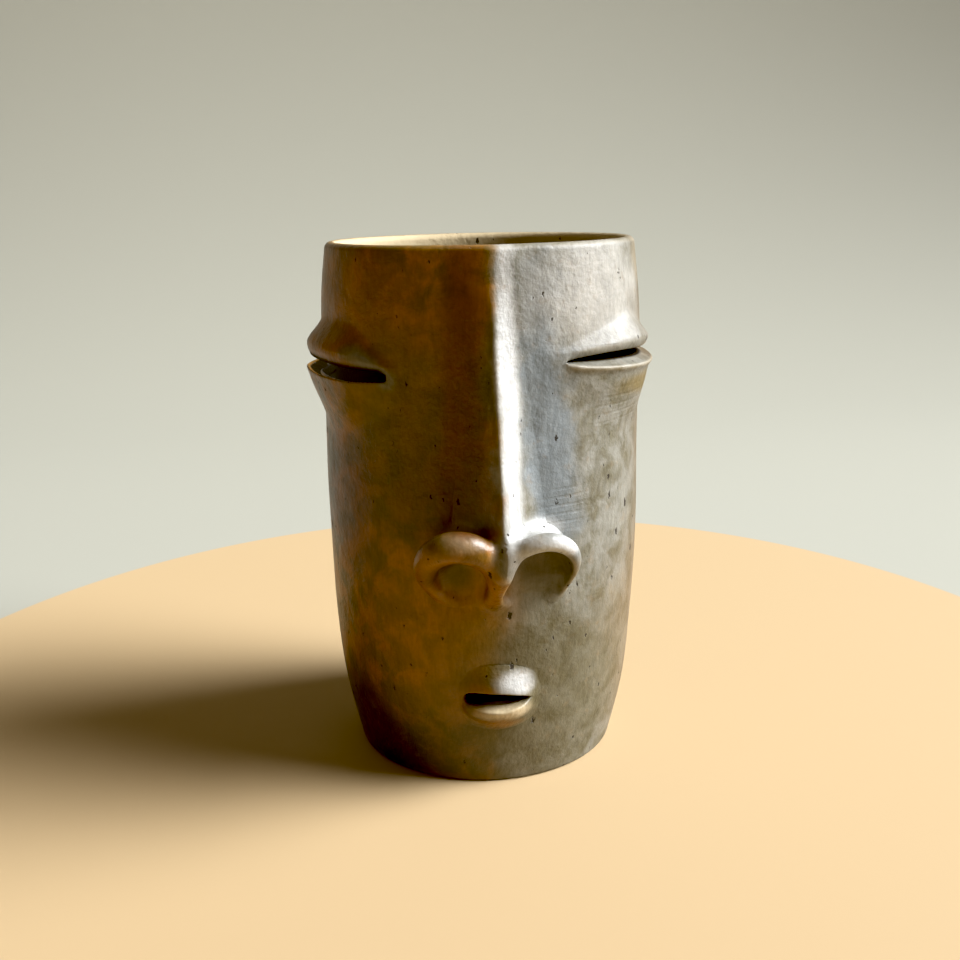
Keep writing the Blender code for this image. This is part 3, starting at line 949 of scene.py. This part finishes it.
def pits(tree, place, size, share, stretch):
    """Mask of small ragged holes in some of the cells: 1 in a hole."""
    ragged = vector_sum(tree, "MULTIPLY", noise(tree, place, 0.8, 2).outputs["Color"], (1.5, 1.5, 1.5))
    vector = vector_sum(tree, "MULTIPLY", vector_sum(tree, "ADD", place, ragged), (1, 1, stretch))
    cells = add_node(tree, "ShaderNodeTexVoronoi", {"Vector": vector, "Scale": 1 / size})
    chance = add_node(tree, "ShaderNodeSeparateColor", {0: cells.outputs["Color"]})
    chosen = calculate(tree, "LESS_THAN", chance.outputs[0], share)
    radius = calculate(tree, "MULTIPLY", chance.outputs[1], 0.2)
    hole = span(tree, calculate(tree, "SUBTRACT", radius, cells.outputs["Distance"]), -0.03, 0.05)
    return calculate(tree, "MULTIPLY", hole, chosen)


def unrolled(tree, place):
    """Place moved level, towards or away from the axis, onto an upright cylinder of the clouds' radius."""
    level = vector_sum(tree, "MULTIPLY", place, (1, 1, 0))
    level = add_node(tree, "ShaderNodeVectorMath", {0: level}, operation="NORMALIZE").outputs["Vector"]
    level = vector_sum(tree, "MULTIPLY", level, (CLOUD_RADIUS, CLOUD_RADIUS, 0))
    return vector_sum(tree, "ADD", level, vector_sum(tree, "MULTIPLY", place, (0, 0, 1)))


def cloud_mask(tree, place, angle, height, across, up):
    """1 in the middle of a cloud of colour and 0 outside it."""
    centre = on_mug(math.radians(angle), CLOUD_RADIUS, height)
    away = vector_sum(tree, "SUBTRACT", place, tuple(centre))
    away = vector_sum(tree, "MULTIPLY", away, (1 / across, 1 / across, 1 / up))
    length = add_node(tree, "ShaderNodeVectorMath", {0: away}, operation="LENGTH").outputs["Value"]
    return span(tree, length, 1.25, 0.35)


def moved(tree, place, drift, reach):
    """Place shifted by a drift of up to half a reach each way."""
    return vector_sum(tree, "ADD", place, vector_sum(tree, "MULTIPLY", drift, (reach, reach, reach)))


def side_colours(tree, drifted, mottle):
    """Ochre and olive on the shaded side, and olive grey with a pale grey painted sheen on the lit side,
    parted more softly towards the back.
    """
    axes = add_node(tree, "ShaderNodeSeparateXYZ", {0: drifted})
    width = calculate(tree, "ADD", calculate(tree, "MULTIPLY", span(tree, axes.outputs[1], -45, 45), 40), 4)
    # The lit side, towards the window at +X, gets the pale grey painted sheen; the shaded side keeps the
    # clay's ochre and olive.
    side = span(tree, calculate(tree, "DIVIDE", axes.outputs[0], width), -1, 1)
    warm = blend(tree, span(tree, mottle, 0.38, 0.62), OLIVE, OCHRE)
    lit_side_colour = blend(tree, span(tree, mottle, 0.3, 0.6), OLIVE_GREY, SHEEN_GREY)
    return blend(tree, side, warm, lit_side_colour)


def inner_colour(tree, place):
    """Soot and painted shade in the depth of the mug, brown higher up and cream painted light at the rim."""
    height = add_node(tree, "ShaderNodeSeparateXYZ", {0: place}).outputs[2]
    colour = blend(tree, span(tree, height, *BROWN_HEIGHTS), INNER_SOOT_AND_SHADE, INNER_BROWN)
    return blend(tree, span(tree, height, *INNER_LIGHT_HEIGHTS), colour, CREAM)


def clay_colour(tree, place, wear_highlight_and_shade, interior, holes):
    """Colour of the clay: a shaded side and a lit side with painted sheen, under smoke clouds and painted
    light and shade, blotches and grain, then pale edges of wear and painted highlight, creases of painted
    shade, soot and painted shade inside, and pits.
    """
    drift = vector_sum(tree, "SUBTRACT", noise(tree, place, 16, 4).outputs["Color"], (0.5, 0.5, 0.5))
    drifted, slightly_drifted = moved(tree, place, drift, WIDE_DRIFT), moved(tree, place, drift, SMALL_DRIFT)
    mottle = noise(tree, place, 9, 5, 0.6, 0.4).outputs["Fac"]
    colour = side_colours(tree, drifted, mottle)
    wide_place, small_place = unrolled(tree, drifted), unrolled(tree, slightly_drifted)
    for angle, height, across, up, tone, strength in CLOUDS:
        cloud_place = small_place if across < SMALL_ACROSS or up < SMALL_UP else wide_place
        mask = cloud_mask(tree, cloud_place, angle, height, across, up)
        colour = blend(tree, calculate(tree, "MULTIPLY", mask, strength), colour, tone)
    blotch = noise(tree, place, 4.5, 4, 0.65).outputs["Fac"]
    blotches = calculate(tree, "MULTIPLY", span(tree, blotch, 0.56, 0.74), 0.4)
    colour = blend(tree, blotches, colour, TAN)
    grain = noise(tree, vector_sum(tree, "MULTIPLY", place, (1, 1, 0.22)), 1.1, 4, 0.7).outputs["Fac"]
    shade = total_of(tree, ((0.9, grain), (0.9, mottle), (0.1, 1.0)))
    colour = vector_sum(tree, "MULTIPLY", colour, shade)
    # Proud edges paler: wear, and painted highlight.
    colour = blend(tree, calculate(tree, "MULTIPLY", span(tree, wear_highlight_and_shade, 0.15, 1.0), 0.4), colour, CREAM)
    # Creases darker: painted shade.
    colour = blend(tree, calculate(tree, "MULTIPLY", span(tree, wear_highlight_and_shade, -0.1, -0.7), 0.5), colour, SOOT_AND_SHADE)
    # Inside: soot and painted shade, with painted light at the rim.
    colour = blend(tree, interior, colour, inner_colour(tree, place))
    return blend(tree, calculate(tree, "MULTIPLY", holes, 0.92), colour, SOOT_AND_SHADE)


def creases(tree, place):
    """Mask of fine curved lines under the right eye and over the right ring."""
    settings = {"Vector": place, "Scale": 0.12, "Distortion": 9.0, "Detail": 3.0, "Detail Scale": 0.12}
    bands = add_node(tree, "ShaderNodeTexWave", settings, bands_direction="Z").outputs["Fac"]
    under_eye = cloud_mask(tree, unrolled(tree, place), 55, 121, 20, 8)
    over_ring = cloud_mask(tree, unrolled(tree, place), 25, 93, 9, 9)
    either = calculate(tree, "MAXIMUM", under_eye, over_ring)
    return calculate(tree, "MULTIPLY", span(tree, bands, 0.6, 1.0), either)


def clay_relief(tree, place, holes):
    """Height of the fine surface in millimetres: lumps, peel, burnishing strokes, creases and pits."""
    lumps = noise(tree, place, 7, 2).outputs["Fac"]
    peel = noise(tree, place, 1.1, 3, 0.6).outputs["Fac"]
    up_strokes = noise(tree, vector_sum(tree, "MULTIPLY", place, (1, 1, 0.06)), 1.3, 3).outputs["Fac"]
    side_strokes = noise(tree, vector_sum(tree, "MULTIPLY", place, (0.1, 0.1, 1)), 1.3, 3).outputs["Fac"]
    terms = ((0.5, lumps), (0.17, peel), (0.03, up_strokes), (0.03, side_strokes), (-0.18, holes))
    return total_of(tree, (*terms, (-0.07, creases(tree, place))))


def clay_material(name, gloss_level):
    """Smoke-fired clay, rougher in creases, in pits and inside, with a level of gloss."""
    material = bpy.data.materials.new(name)
    material.use_nodes = True
    tree = material.node_tree
    shader = tree.nodes["Principled BSDF"]
    shader.inputs["IOR"].default_value = CLAY_IOR
    shader.inputs["Specular IOR Level"].default_value = gloss_level
    coordinates = add_node(tree, "ShaderNodeTexCoord", {}).outputs["Object"]
    place = vector_sum(tree, "MULTIPLY", coordinates, (1 / MM, 1 / MM, 1 / MM))
    wear_highlight_and_shade = add_node(tree, "ShaderNodeAttribute", {}, attribute_name="wear_highlight_and_crease_shade").outputs["Fac"]
    interior = add_node(tree, "ShaderNodeAttribute", {}, attribute_name="interior").outputs["Fac"]
    pitted = vector_sum(tree, "ADD", place, PIT_SHIFT)
    holes = calculate(tree, "MAXIMUM", pits(tree, pitted, *LARGE_PITS), pits(tree, pitted, *SMALL_PITS))
    tree.links.new(clay_colour(tree, place, wear_highlight_and_shade, interior, holes), shader.inputs["Base Color"])
    patchy = noise(tree, place, 6, 4, 0.6).outputs["Fac"]
    fine = noise(tree, vector_sum(tree, "MULTIPLY", place, (1, 1, 0.2)), 0.8, 2).outputs["Fac"]
    crease = span(tree, wear_highlight_and_shade, -0.05, -0.5)
    pale_side = span(tree, add_node(tree, "ShaderNodeSeparateXYZ", {0: place}).outputs[0], -5, 30)
    terms = ((0.2, patchy), (0.12, fine), (0.5, holes), (0.35, crease), (0.3, interior), (0.2, pale_side))
    roughness = total_of(tree, (*terms, (BASE_ROUGHNESS, 1.0)))
    tree.links.new(roughness, shader.inputs["Roughness"])
    relief = {"Height": clay_relief(tree, place, holes), "Strength": 1.0, "Distance": MM}
    tree.links.new(add_node(tree, "ShaderNodeBump", relief).outputs["Normal"], shader.inputs["Normal"])
    return material


# ---- stage, light and camera ----

# Lengths of the stage and of the lights are in metres.
FLOOR_HALF = 3.0
BACKDROP_TOP = 3.0
SWEEP_START = 0.5
SWEEP_BEND = 0.6
TABLE_RADIUS = 0.244
TABLE_EDGE = 0.001
TABLE_BACK = (-0.2, 0.0)
FLOOR_TAN = (0.40, 0.285, 0.155)
BACKDROP_GREY = (0.30, 0.295, 0.25)

# Lights: name, place, aim, size, power in watts, spread in degrees and colour.
MUG_MIDDLE = (0, 0, HEIGHT / 2 * MM)
LIGHTS = [
    ("window", (2.2, -0.25, 1.5), MUG_MIDDLE, (1.8, 1.8), 46, 48, (0.94, 0.97, 1.0)),
    ("fill", (-1.2, -0.9, 0.7), MUG_MIDDLE, (1.0, 1.0), 1.3, 180, (1.0, 0.66, 0.3)),
    ("backdrop_wash", (-0.5, 0.2, 1.7), (-0.2, 1.1, 0.85), (1.4, 0.8), 7.5, 100, (1.0, 1.0, 0.97)),
]
ROOM_COLOUR = (0.75, 0.52, 0.25, 1)
ROOM_STRENGTH = 0.15
BLACK_LEVEL = (0.006, 0.009, 0.017)

CAMERA_AZIMUTH = math.radians(-4.5)
CAMERA_DISTANCE = 347.0
CAMERA_ABOVE_RIM = 13.5
CAMERA_PITCH = math.radians(15.21)
CAMERA_ROLL = math.radians(-1.2)
LENS = 39.4


def floor_paint():
    """Tan tabletop round the mug, and the backdrop's grey behind its round edge."""
    paint = bpy.data.materials.new("pale_floor")
    paint.use_nodes = True
    tree = paint.node_tree
    shader = tree.nodes["Principled BSDF"]
    coordinates = add_node(tree, "ShaderNodeTexCoord", {}).outputs["Object"]
    reach = add_node(tree, "ShaderNodeVectorMath", {0: coordinates}, operation="LENGTH").outputs["Value"]
    back = add_node(tree, "ShaderNodeSeparateXYZ", {0: coordinates}).outputs[1]
    beyond = span(tree, reach, TABLE_RADIUS - TABLE_EDGE, TABLE_RADIUS + TABLE_EDGE)
    share = calculate(tree, "MULTIPLY", span(tree, back, *TABLE_BACK), beyond)
    tree.links.new(blend(tree, share, FLOOR_TAN, BACKDROP_GREY), shader.inputs["Base Color"])
    shader.inputs["Roughness"].default_value = 0.8
    return paint


def make_stage():
    """Plain pale floor that sweeps up into a plain backdrop behind the mug."""
    outline = [(-FLOOR_HALF, 0.0), (SWEEP_START, 0.0)]
    for turn in np.linspace(0, math.pi / 2, 17)[1:]:
        outline.append((SWEEP_START + SWEEP_BEND * math.sin(turn), SWEEP_BEND * (1 - math.cos(turn))))
    outline.append((SWEEP_START + SWEEP_BEND, BACKDROP_TOP))
    vertices = [(x, y, z) for y, z in outline for x in (-FLOOR_HALF, FLOOR_HALF)]
    faces = [(2 * i, 2 * i + 1, 2 * i + 3, 2 * i + 2) for i in range(len(outline) - 1)]
    mesh = bpy.data.meshes.new("floor")
    mesh.from_pydata(vertices, [], faces)
    mesh.shade_smooth()
    mesh.materials.append(floor_paint())
    floor = bpy.data.objects.new("floor", mesh)
    bpy.context.scene.collection.objects.link(floor)


def add_area_light(name, place, aim, size, power, spread, colour):
    """Soft rectangular light at a place, aimed at a point."""
    light = bpy.data.lights.new(name, "AREA")
    light.shape = "RECTANGLE"
    light.size, light.size_y = size
    light.energy = power
    light.spread = math.radians(spread)
    light.color = colour
    lamp = bpy.data.objects.new(name, light)
    lamp.location = place
    lamp.rotation_euler = (Vector(aim) - Vector(place)).to_track_quat("-Z", "Y").to_euler()
    bpy.context.scene.collection.objects.link(lamp)


def make_light():
    """Cool window on the right, dim warm fill on the left, a wash on the backdrop and the room's glow."""
    for light in LIGHTS:
        add_area_light(*light)
    world = bpy.data.worlds.new("room")
    world.use_nodes = True
    background = world.node_tree.nodes["Background"]
    background.inputs["Color"].default_value = ROOM_COLOUR
    background.inputs["Strength"].default_value = ROOM_STRENGTH
    bpy.context.scene.world = world


def set_tones():
    """Plain tones, with the darkest taken down to black."""
    view = bpy.context.scene.view_settings
    view.view_transform = "Standard"
    view.use_curve_mapping = True
    view.curve_mapping.black_level = BLACK_LEVEL
    view.curve_mapping.update()


def make_camera():
    """Camera at eye level a little above the rim, looking down at the face."""
    data = bpy.data.cameras.new("camera")
    data.lens = LENS
    data.sensor_width = 36
    data.clip_start = 0.01
    camera = bpy.data.objects.new("camera", data)
    place = on_mug(CAMERA_AZIMUTH, CAMERA_DISTANCE, HEIGHT + CAMERA_ABOVE_RIM) * MM
    camera.location = place
    turn = Euler((math.pi / 2 - CAMERA_PITCH, 0, CAMERA_AZIMUTH), "XYZ").to_matrix()
    roll = Euler((0, 0, CAMERA_ROLL), "XYZ").to_matrix()
    camera.rotation_euler = (turn @ roll).to_euler()
    bpy.context.scene.collection.objects.link(camera)
    bpy.context.scene.camera = camera


clay = [clay_material("burnished_clay", BURNISHED_GLOSS), clay_material("sooty_clay", INNER_GLOSS)]
make_turned_pieces(clay)
make_nose(clay)
for eye_side, eye_shape in EYES.items():
    make_eyelids(eye_side, eye_shape, clay)
make_lips(clay)
make_stage()
make_light()
set_tones()
make_camera()
